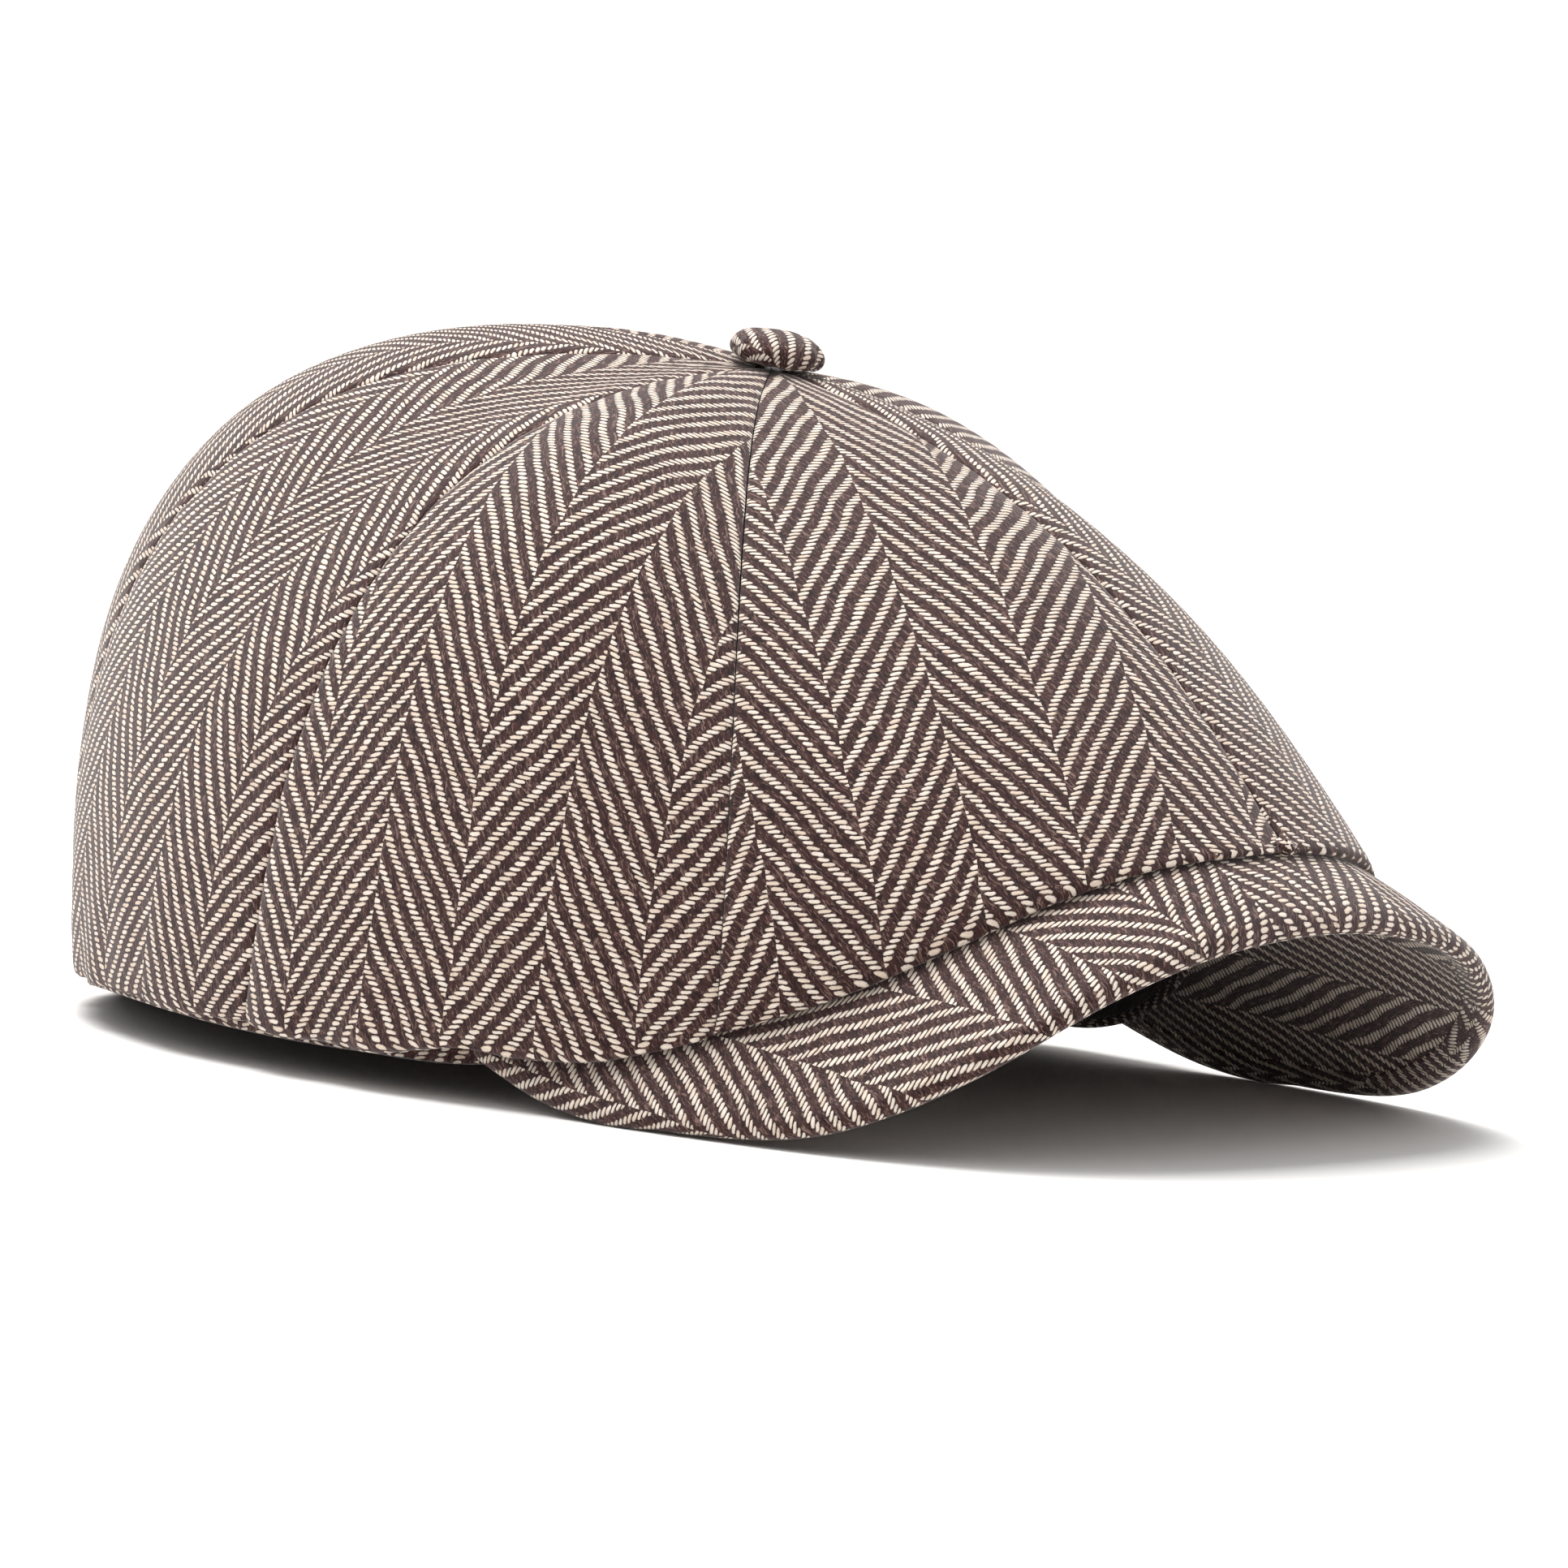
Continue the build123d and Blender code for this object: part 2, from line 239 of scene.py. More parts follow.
def arch_point(x, y, offset=0.0):
    """A point of the peak's bent sheet, moved off its middle across the arch."""
    slope = -2 * arch(y) * x
    length = sqrt(1 + slope**2)
    sag = DROOP[1] * max(0.0, DROOP[0] - y) ** 3 - TIP_RISE[1] * max(0.0, y - TIP_RISE[0]) ** 2
    z = PEAK_TOP_Z - arch(y) * x * x - sag
    return Vector((x - slope / length * offset, y, z + offset / length))


def peak_top(x, y):
    """Height of the peak's upper face, carried on steeply down behind its two back tips."""
    slope = 2 * arch(y) * x
    fall = BACK_FALL[1] * max(0.0, y - BACK_FALL[0]) ** 2
    return arch_point(x, y).z - fall + PEAK_HALF * sqrt(1 + slope**2)


def back_corner(theta):
    """1 halfway between side and back, 0 at the front, sides and back."""
    return sin(2 * theta) ** 2 * (1 - cos(theta)) / 2


def rim_level(theta):
    """Height of the lower fold where no peak lifts it: lowest at the back, raised a little by the ears."""
    return around(theta, *RIM_LEVEL) + RIM_LEVEL_BACK * back_corner(theta)


def rim_point(theta):
    """The crown's lower fold, lying on the peak at the front."""
    grow = RIM_CORNER * back_corner(theta)
    x, y = (RIM_HALF[0] + grow) * sin(theta), RIM_CENTRE_Y - (RIM_HALF[1] + grow) * cos(theta)
    return Vector((x, y, smooth_max(rim_level(theta), peak_top(x, y) + FOLD_CLEARANCE)))


def crown_point(theta, t):
    """The outside of the crown, t from 0 at the apex to 1 at the fold."""
    out = Vector((sin(theta), -cos(theta), 0))
    shoulder = sin(2 * theta) ** 2 * (1 + cos(theta)) / 2
    rim = rim_point(theta)
    reach = around(theta, *TOP_REACH) + SHOULDER[0] * shoulder
    bulge = around(theta, *RIM_BULGE) + SHOULDER[1] * shoulder
    rise = around(theta, *RIM_RISE) + SHOULDER[2] * shoulder
    first = APEX + out * reach - Vector((0, 0, reach * around(theta, *TOP_SLOPE)))
    second = rim + out * bulge + Vector((0, 0, rise))
    return APEX * (1 - t) ** 3 + first * (3 * t * (1 - t) ** 2) + second * (3 * t * t * (1 - t)) + rim * t**3


def hem_point(theta, share):
    """The underside of the turned hem, share from 0 at the fold to 1 at the band."""
    outer = rim_point(theta)
    reach = outer.xy.length
    half = OPENING[0] + BAND_STACK, OPENING[1] + BAND_STACK
    to_band = reach / sqrt((outer.x / half[0]) ** 2 + (outer.y / half[1]) ** 2)
    inward = min(to_band, reach - 1.0) / reach
    x, y = outer.x * inward, outer.y * inward
    floor = height_on(BAND_LOWER, y) + HEM_LIFT
    px, py = outer.x + (x - outer.x) * share, outer.y + (y - outer.y) * share
    level = rim_level(theta) * (1 - share) + floor * share
    clearance = HEM_CLEARANCE + HEM_CLEARANCE_GROWTH * max(0.0, py - DROOP[0])
    return Vector((px, py, smooth_max(level, peak_top(px, py) + clearance)))


def lining_point(theta, t):
    """The lining, hung inside the crown and drawn in to the top of the band."""
    p = crown_point(theta, t * around(theta, *LINING_END))
    p = p + (LINING_CENTRE - p).normalized() * LINING_DROP
    x, y = (OPENING[0] + LINING_GAP) * sin(theta), -(OPENING[1] + LINING_GAP) * cos(theta)
    edge = Vector((x, y, height_on(BAND_UPPER, y) + LINING_GAP))
    return p + (edge - p) * t**3


# ---- mesh helpers ----


def finish_piece(bm, name, material, body, replaced=()):
    """Puts a mesh made in millimetres down in metres as one smooth piece riding on a body."""
    bmesh.ops.scale(bm, vec=(MM, MM, MM), verts=bm.verts)
    mesh = bpy.data.meshes.new(name)
    bm.to_mesh(mesh)
    bm.free()
    for face in mesh.polygons:
        face.use_smooth = True
    mesh.materials.append(material)
    piece = bpy.data.objects.new(name, mesh)
    bpy.context.scene.collection.objects.link(piece)
    if replaced:
        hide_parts(*replaced)
    if body:
        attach(piece, body)
    return piece


def thicken(piece, amount, levels=1):
    """Gives a sheet its thickness on the inside, then rounds it."""
    wall = piece.modifiers.new("Thickness", "SOLIDIFY")
    wall.thickness = amount
    wall.offset = -1
    if levels:
        soft = piece.modifiers.new("Rounding", "SUBSURF")
        soft.levels = soft.render_levels = levels


def grid_sheet(columns, rows, place, uv_of):
    """A grid of faces whose corner (i, j) goes to place(i, j), with its weave coordinates in millimetres."""
    bm = bmesh.new()
    bmesh.ops.create_grid(bm, x_segments=columns, y_segments=rows, size=1)
    layer = bm.loops.layers.uv.new("weave")
    spots = {}
    for v in bm.verts:
        spot = round((v.co.x + 1) / 2 * columns), round((v.co.y + 1) / 2 * rows)
        spots[v] = spot
        v.co = place(*spot)
    for face in bm.faces:
        for loop in face.loops:
            loop[layer].uv = uv_of(*spots[loop.vert])
    bm.normal_update()
    return bm, spots


def face_outward(bm, inner):
    """Turns an open sheet's faces so that they point away from inner."""
    bm.normal_update()
    if sum((f.calc_center_median() - inner).dot(f.normal) * f.calc_area() for f in bm.faces) < 0:
        bmesh.ops.reverse_faces(bm, faces=bm.faces)
    bm.normal_update()


def running(points):
    """Lengths along a line of points, from 0."""
    total, out = 0.0, [0.0]
    for a, b in zip(points, points[1:]):
        total += (b - a).length
        out.append(total)
    return out


# ---- crown ----

# Columns crowd toward the seams by EDGE_STEPS, less where a gore is narrower than twice EDGE_REACH
EDGE_STEPS = (0.0, 0.45, 1.0, 1.9, 3.3, 5.6)
EDGE_REACH = 30.0
ROW_POWER = 0.9
PROBES = 8
RIM_PROBE = 0.03
RIM_SPEED_LEAST = 20.0
HEM_SHARES = (0.4, 0.6, 0.8, 1.0)
FOLD_SHARE_MOST = 0.3
FOLD_STEPS = 5
FLATTEN_ROUNDS = 600
FLATTEN_PACE = 1.6
FLATTEN_LINKS = ((0, 1), (1, 0), (1, 1), (1, -1), (0, 4), (4, 0))
INSIDE = Vector((0, -20, 45))


def gore_profile(theta, rows, fold):
    """One meridian of the outer cloth: down the crown, round the fold and in along the hem."""
    eye = EYE_RADIUS / (3 * around(theta, *TOP_REACH))
    rim = crown_point(theta, 1.0)
    speed = (rim - crown_point(theta, 1 - RIM_PROBE)).length / RIM_PROBE
    t_fold = 1 - fold / max(RIM_SPEED_LEAST, speed)
    width = (hem_point(theta, 1.0) - hem_point(theta, 0.0)).length
    share = min(FOLD_SHARE_MOST, fold / width)
    line = [crown_point(theta, eye + (t_fold - eye) * (j / rows) ** ROW_POWER) for j in range(rows)]
    a, b = crown_point(theta, t_fold), hem_point(theta, share)
    corner = Vector((rim.x, rim.y, (rim.z + hem_point(theta, 0.0).z) / 2))
    for k in range(FOLD_STEPS):
        s = k / (FOLD_STEPS - 1)
        line.append(a * (1 - s) ** 2 + corner * (2 * s * (1 - s)) + b * s * s)
    line += [hem_point(theta, share + (1 - share) * h) for h in HEM_SHARES]
    return line


def gore_sheet(start, end, sizes, shift, turn):
    """One gore of the outer cloth, its cut edges sunk into the seams."""
    columns = sizes.columns + 2 * (len(EDGE_STEPS) - 1)
    fold = sizes.fold / MM
    turns = [start + (end - start) * k / PROBES for k in range(PROBES + 1)]
    probes = [gore_profile(theta, sizes.rows, fold) for theta in turns]
    rows = len(probes[0]) - 1
    lines = []
    for j in range(rows + 1):
        width = running([p[j] for p in probes])[-1]
        shrink = min(1.0, width / 2 / EDGE_REACH)
        edge = [step * shrink / width for step in EDGE_STEPS]
        inner = [edge[-1] + (1 - 2 * edge[-1]) * k / sizes.columns for k in range(1, sizes.columns)]
        lines.append(edge + inner + [1 - f for f in reversed(edge)])
    at = {}
    for j in range(rows + 1):
        for i, f in enumerate(lines[j]):
            at[i, j] = profile_at(probes, f, j)
    across = [running([at[i, j] for i in range(columns + 1)]) for j in range(rows + 1)]
    middle = columns // 2
    down = running([at[middle, j] for j in range(rows + 1)])
    laid = lay_flat(columns, rows, at, across, down)
    grain = Matrix.Rotation(turn, 2)

    def weave(i, j):
        spot = grain @ laid[i, j]
        return spot.x + shift, spot.y

    bm, spots = grid_sheet(columns, rows, lambda i, j: at[i, j], weave)
    face_outward(bm, INSIDE)
    for v in bm.verts:
        i, j = spots[v]
        d = min(across[j][i], across[j][-1] - across[j][i])
        half = across[j][-1] / 2
        v.co += v.normal * cloth_rise(v.co, d, half, down[rows] - down[j], sizes)
    return bm


def lay_flat(columns, rows, at, across, down):
    """The gore pressed flat as the cutter had it, grain along its middle: threads keep their real lengths.

    Every short link of the sewn shape pulls its flat copy toward its own length, many times over.
    """
    shape = np.array([[at[i, j] for i in range(columns + 1)] for j in range(rows + 1)])
    middle = columns // 2
    flat = np.zeros((rows + 1, columns + 1, 2))
    flat[..., 0] = np.array(across) - np.array(across)[:, middle : middle + 1]
    flat[..., 1] = -np.array(down)[:, None]
    links = []
    for step_j, step_i in FLATTEN_LINKS:
        a = slice(0, rows + 1 - step_j), slice(max(0, -step_i), columns + 1 - max(0, step_i))
        b = slice(step_j, rows + 1), slice(max(0, step_i), columns + 1 + min(0, step_i))
        links.append((a, b, np.linalg.norm(shape[b] - shape[a], axis=-1)))
    for _ in range(FLATTEN_ROUNDS):
        push = np.zeros_like(flat)
        share = np.zeros(flat.shape[:2])
        for a, b, length in links:
            gap = flat[b] - flat[a]
            now = np.maximum(np.linalg.norm(gap, axis=-1), 1e-9)
            move = gap * ((now - length) / now / 2)[..., None]
            push[a] += move
            push[b] -= move
            share[a] += 1
            share[b] += 1
        flat += push / share[..., None] * FLATTEN_PACE
        flat[:, middle, 0] = 0.0
    return {(i, j): Vector(flat[j, i]) for j in range(rows + 1) for i in range(columns + 1)}


def profile_at(probes, f, j):
    """Row j of the meridian at share f of a gore, by a smooth curve through the probed meridians."""
    x = f * (len(probes) - 1)
    k = min(len(probes) - 2, int(x))
    s = x - k
    p1, p2 = probes[k][j], probes[k + 1][j]
    p0 = probes[k - 1][j] if k > 0 else p1 * 2 - p2
    p3 = probes[k + 2][j] if k + 2 < len(probes) else p2 * 2 - p1
    return between(p0, p1, p2, p3, s)


# Where the hem is caught up above the peak's back tips: (place, width, depth)
PINCHES = (
    (Vector((92, -10, 8)), 3.5, -1.1),
    (Vector((90, -21, 8)), 6.0, 0.9),
    (Vector((92, 1, 9)), 6.0, 0.5),
)

# Unevenness of sewn cloth: its height, its size, and how far puckers and tucks reach from seam or hem
PUCKER = (0.38, 5.5, 6.0)
WAVE = (0.55, 42.0, Vector((3.1, 0, 7.7)))
TUCK = (0.75, (9.0, 9.0, 30.0), 26.0)
SEAM_WIDTH = 1.0
PUFF_REACH = 10.0

# Gores this narrow on each side of their middle lose the effect toward the button
NARROW_SEAM, NARROW_WAVE, NARROW_PUFF = 8.0, 20.0, 25.0


def cloth_rise(p, d, half, left, sizes):
    """How far the sewn cloth stands off its smooth shape: sunk seams, puckers, soft waves and small tucks."""
    by_seam = min(1.0, half / NARROW_SEAM)
    seam = -sizes.seam_depth / MM * exp(-d / SEAM_WIDTH) * by_seam
    puff = sizes.puff / MM * (1 - exp(-((d / PUFF_REACH) ** 2))) * min(1.0, half / NARROW_PUFF)
    pucker = PUCKER[0] * noise.noise(p / PUCKER[1]) * exp(-((d / PUCKER[2]) ** 2)) * by_seam
    wave = WAVE[0] * noise.noise(p / WAVE[1] + WAVE[2])
    low = exp(-((left / TUCK[2]) ** 2))
    tuck = TUCK[0] * low * noise.noise(Vector(c / size for c, size in zip(p, TUCK[1])))
    beside = Vector((abs(p.x), p.y, p.z))
    pinch = sum(depth * exp(-(((beside - place).length / width) ** 2)) for place, width, depth in PINCHES)
    return seam + puff + pucker + (wave + tuck) * min(1.0, half / NARROW_WAVE) + pinch


# Where a herringbone point falls across each gore's middle, so that the legs break at the seams as cut
LEG_SHIFTS = {"front": LEG + 1.4, "side_front": 1.4, "side_back": 2.25, "back": LEG / 2}
GRAIN_TURNS = {"front": radians(4.0), "side_front": 0.0, "side_back": 0.0, "back": 0.0}

# Each gore reaches this far past its seam line at the fold, so that neighbours meet inside the sunk seam
SEAM_LAP = 0.15


class CAP_OT_crown(Operator):
    """Sew the eight outer gores, each turned under at the band"""

    bl_idname = "cap.crown"
    bl_label = "Crown"

    def execute(self, context):
        sizes = context.scene.cap_sizes
        tweed = bpy.data.materials["wool_herringbone_tweed"]
        lap = SEAM_LAP / RIM_HALF[1]
        for side, sign in (("left", 1), ("right", -1)):
            for name, first, last in GORES:
                start, end = sign * (radians(first) - lap), sign * (radians(last) + lap)
                shift = WEAVE_START + sign * LEG_SHIFTS[name]
                bm = gore_sheet(start, end, sizes, shift, sign * GRAIN_TURNS[name])
                follows = name in ("front", "side_front")
                body = None if follows else "cap"
                gore = finish_piece(bm, f"gore_{name}_{side}", tweed, body, [f"crown_{name}_{side}"])
                if follows:
                    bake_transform(gore)
                thicken(gore, sizes.cloth)
        return {"FINISHED"}


# ---- lining ----

LINING_COLUMNS, LINING_ROWS = 18, 34
LINING_EYE = 1.0
LINING_CLOTH = 0.4
SATIN_STEP = 3.0

# Slack of the hung lining: (height, size) of its folds, then how deeply and how sharply the seams draw it in
SATIN_FOLDS = ((0.9, 17.0), (0.5, 6.0))
SATIN_DRAWN = (0.8, 24.0)


class CAP_OT_lining(Operator):
    """Hang the eight satin gores inside the crown"""

    bl_idname = "cap.lining"
    bl_label = "Lining"

    def execute(self, context):
        satin = bpy.data.materials["acetate_satin_lining"]
        columns, rows = LINING_COLUMNS, LINING_ROWS
        for side, sign in (("left", 1), ("right", -1)):
            for name, first, last in GORES:
                start, end = sign * radians(first), sign * radians(last)

                def place(i, j):
                    theta = start + (end - start) * i / columns
                    eye = LINING_EYE / (3 * around(theta, *TOP_REACH))
                    p = lining_point(theta, eye + (1 - eye) * (j / rows) ** ROW_POWER)
                    edge = min(i, columns - i) / columns
                    free = smooth_step(j / 4) * smooth_step((rows - j) / 5)
                    slack = sum(height * noise.noise(p / size) for height, size in SATIN_FOLDS)
                    slack -= SATIN_DRAWN[0] * exp(-edge * SATIN_DRAWN[1])
                    toward = (LINING_CENTRE - p).normalized()
                    return p - toward * slack * free

                bm, _ = grid_sheet(columns, rows, place, lambda i, j: (i * SATIN_STEP, j * SATIN_STEP))
                face_outward(bm, INSIDE)
                node = f"lining_{name}_{side}"
                gore = finish_piece(bm, f"satin_{name}_{side}", satin, "cap", [node])
                thicken(gore, LINING_CLOTH * MM)
        return {"FINISHED"}


# ---- bands ----

# Each layer: piece, finish, slot, node, distance outside the opening, edge inset, thickness, columns, rows
BAND_LAYERS = (
    ("tweed_head_band", "wool_herringbone_tweed", "tweed", "head_band", BAND_STACK - 0.1, 0.0, 1.2, 160, 10),
    ("stiffening_tape", "cotton_stay_tape", "tape", "band_tape", 1.85, 3.0, 0.6, 120, 4),
    ("twill_sweatband", "cotton_twill_sweatband", "sweatband", "sweatband", 1.0, 1.5, 0.6, 160, 10),
)
SWEATBAND_INSET = BAND_LAYERS[-1][5]
STITCH_COUNT = 168
STITCH_HALF = (1.1, 0.28, 0.24)
STITCH_LIFT, STITCH_DROP = 3.2, 2.8


def worn_soft(p, theta):
    """The sweatband bulges gently and unevenly toward the head."""
    out = Vector((sin(theta), -cos(theta), 0))
    return p - out * (0.25 * noise.noise(Vector((p.x / 14, p.y / 14, p.z / 22))) + 0.25)


def oval_strip(outer, inset, columns, rows, bend):
    """A strip standing round the head opening, outer millimetres outside it, its two ends joined."""
    half = OPENING[0] + outer, OPENING[1] + outer

    def place(i, j):
        theta = 2 * pi * i / columns
        x, y = half[0] * sin(theta), -half[1] * cos(theta)
        low, high = height_on(BAND_LOWER, y) + inset, height_on(BAND_UPPER, y) - inset
        p = Vector((x, y, low + (high - low) * j / rows))
        return bend(p, theta) if bend else p

    round_it = running([place(i, 0) for i in range(columns + 1)])
    bm, _ = grid_sheet(columns, rows, place, lambda i, j: (round_it[i] + WEAVE_START, place(i, j).z))
    bmesh.ops.remove_doubles(bm, verts=bm.verts, dist=1e-4)
    face_outward(bm, Vector((0, 0, 30)))
    return bm


class CAP_OT_bands(Operator):
    """Stand the cloth band, its stiff tape and the stitched sweatband round the opening"""

    bl_idname = "cap.bands"
    bl_label = "Bands"

    def execute(self, context):
        made = bpy.data.materials
        for name, finish, slot, node, outer, inset, wall, columns, rows in BAND_LAYERS:
            bend = worn_soft if node == "sweatband" else None
            strip = oval_strip(outer, inset, columns, rows, bend)
            piece = finish_piece(strip, name, made[finish], "cap", [node])
            thicken(piece, wall * MM)
        self.stitches(made["polyester_sewing_thread"])
        return {"FINISHED"}

    def stitches(self, thread):
        """A row of lockstitches along both edges of the sweatband."""
        bm = bmesh.new()
        for upper in (False, True):
            for k in range(STITCH_COUNT):
                theta = 2 * pi * k / STITCH_COUNT
                x, y = OPENING[0] * sin(theta), -OPENING[1] * cos(theta)
                if upper:
                    z = height_on(BAND_UPPER, y) - SWEATBAND_INSET - STITCH_DROP
                else:
                    z = height_on(BAND_LOWER, y) + SWEATBAND_INSET + STITCH_LIFT
                along = Vector((OPENING[0] * cos(theta), OPENING[1] * sin(theta), 0)).normalized()
                turn = Matrix.Rotation(atan2(along.y, along.x), 4, "Z")
                place = Matrix.Translation((x, y, z)) @ turn @ Matrix.Diagonal((*STITCH_HALF, 1))
                bmesh.ops.create_icosphere(bm, subdivisions=1, radius=1, matrix=place)
        finish_piece(bm, "sweatband_stitches", thread, "cap")


# ---- peak ----

INNER_CLEARANCE = 1.6
TIP_ANGLE = radians(68.6)
ARCH_STEPS = 12
PEAK_COLUMNS = 150
TOP_ROWS, TURN_ROWS, TAIL_ROWS, UNDER_ROWS = 22, 8, 4, 20
TAIL = 3.0
UNDER_EDGE = 2.2
UNDER_INSET = 0.25

# Unevenness of the peak's cloth: its height, its size, and how far from the edges it fades in
PEAK_SWELL = (0.35, 24.0, 6.0)


def outline(share):
    """The peak's outer edge from above, share from -1 at one tip to 1 at the other, by a smooth curve."""
    x = abs(share) * (len(PEAK_EDGE) - 1)
    k = min(len(PEAK_EDGE) - 2, int(x))
    s = x - k
    points = [Vector(p) for p in PEAK_EDGE]
    before = Vector((-PEAK_EDGE[1][0], PEAK_EDGE[1][1]))
    p1, p2 = points[k], points[k + 1]
    p0 = points[k - 1] if k else before
    p3 = points[k + 2] if k + 2 < len(points) else p2 * 2 - p1
    p = between(p0, p1, p2, p3, s)
    return Vector((p.x if share >= 0 else -p.x, p.y))


def inner_edge(share):
    """The peak's sewn edge along the band, from above."""
    grow = BAND_STACK + INNER_CLEARANCE
    theta = share * TIP_ANGLE
    return Vector(((OPENING[0] + grow) * sin(theta), -(OPENING[1] + grow) * cos(theta)))


def arch_length(x):
    """Length across the arch from its middle to x."""
    middles = [(k + 0.5) / ARCH_STEPS for k in range(ARCH_STEPS)]
    return sum(sqrt(1 + (2 * PEAK_ARCH * x * share) ** 2) * x / ARCH_STEPS for share in middles)


def peak_cloth(columns, rows, cover, roll):
    """Half of the peak's cover: the upper cloth with its rolled edge, or the cloth under it."""
    laid = {}
    for i in range(columns + 1):
        share = 2 * i / columns - 1
        inner, outer = inner_edge(share), outline(share)
        reach = (outer - inner).length
        out = (outer - inner).normalized()
        turn = min(PEAK_HALF, reach * 0.8)
        for j, (e, offset, extra) in enumerate(roll(reach, turn)):
            spot = outer - out * e
            p = arch_point(spot.x, spot.y, offset)
            height, size, fade = PEAK_SWELL
            swell = height * noise.noise(Vector((spot.x / size, spot.y / size, cover)))
            p.z += swell * smooth_step((reach - e) / fade) * smooth_step(e / fade)
            flat = spot + out * extra
            laid[i, j] = p, (arch_length(flat.x) + WEAVE_START, flat.y)
    bm, _ = grid_sheet(columns, rows, lambda i, j: laid[i, j][0], lambda i, j: laid[i, j][1])
    return bm


class CAP_OT_peak(Operator):
    """Cover the peak board: upper cloth rolled round the edge, and the cloth under it"""

    bl_idname = "cap.peak"
    bl_label = "Peak"

    def execute(self, context):
        sizes = context.scene.cap_sizes
        tweed = bpy.data.materials["wool_herringbone_tweed"]

        def over(reach, turn):
            line = [(reach - (reach - turn) * j / TOP_ROWS, PEAK_HALF, 0.0) for j in range(TOP_ROWS + 1)]
            for k in range(1, TURN_ROWS + 1):
                a = pi * k / TURN_ROWS
                line.append((turn * (1 - sin(a)), PEAK_HALF * cos(a), turn * (a - sin(a))))
            tail = min(TAIL, (reach - turn) * 0.6)
            for k in range(1, TAIL_ROWS + 1):
                e = turn + tail * k / TAIL_ROWS
                line.append((e, -PEAK_HALF, e + turn * (pi - 2) + e - turn))
            return line

        bm = peak_cloth(PEAK_COLUMNS, TOP_ROWS + TURN_ROWS + TAIL_ROWS, 0.0, over)
        self.upward(bm, 1)
        top = finish_piece(bm, "peak_cover", tweed, "peak", ["peak_top_cloth"])
        thicken(top, sizes.cloth * 0.8)

        def under(reach, turn):
            start = min(UNDER_EDGE, (reach - turn) * 0.5) + turn * 0.3
            shares = [j / UNDER_ROWS for j in range(UNDER_ROWS + 1)]
            return [(start + (reach - start) * share, UNDER_INSET - PEAK_HALF, 0.0) for share in shares]

        bm = peak_cloth(PEAK_COLUMNS, UNDER_ROWS, 5.0, under)
        self.upward(bm, -1)
        low = finish_piece(bm, "peak_undercloth", tweed, "peak", ["peak_under_cloth"])
        thicken(low, sizes.cloth * 0.7)
        return {"FINISHED"}

    def upward(self, bm, sign):
        """Turns the sheet so that its larger face looks up, or down for sign -1."""
        bm.normal_update()
        if sum(f.normal.z * f.calc_area() for f in bm.faces) * sign < 0:
            bmesh.ops.reverse_faces(bm, faces=bm.faces)


# ---- button ----

BUTTON_PROFILE = [
    (0, 5.7), (2.2, 5.6), (4.3, 5.25), (6.1, 4.7), (7.4, 3.8),
    (8.1, 2.6), (8.1, 1.4), (7.4, 0.45), (6.3, 0.05), (5.4, 0.3),
]
BUTTON_TILT = radians(10)
BUTTON_LIFT = 0.5
BUTTON_PLACE = (
    Matrix.Translation(APEX) @ Matrix.Rotation(BUTTON_TILT, 4, "X") @ Matrix.Translation((0, 0, BUTTON_LIFT))
)
BUTTON_CLOTH = 0.5
BUTTON_STEPS = 56

# Gathers of the button's cloth: the radius where they start, the length they grow over, (height, count, turn)
GATHER_START, GATHER_GROWTH = 4.5, 3.0
GATHERS = ((0.16, 11, 0.0), (0.1, 17, 1.0))

# The thread wound under the button
COIL_START = Vector((2.5, 0, -3.4))
COIL_TURNS, COIL_STEPS, COIL_PITCH = 2.5, 60, 0.55
COIL_THREAD = 0.42


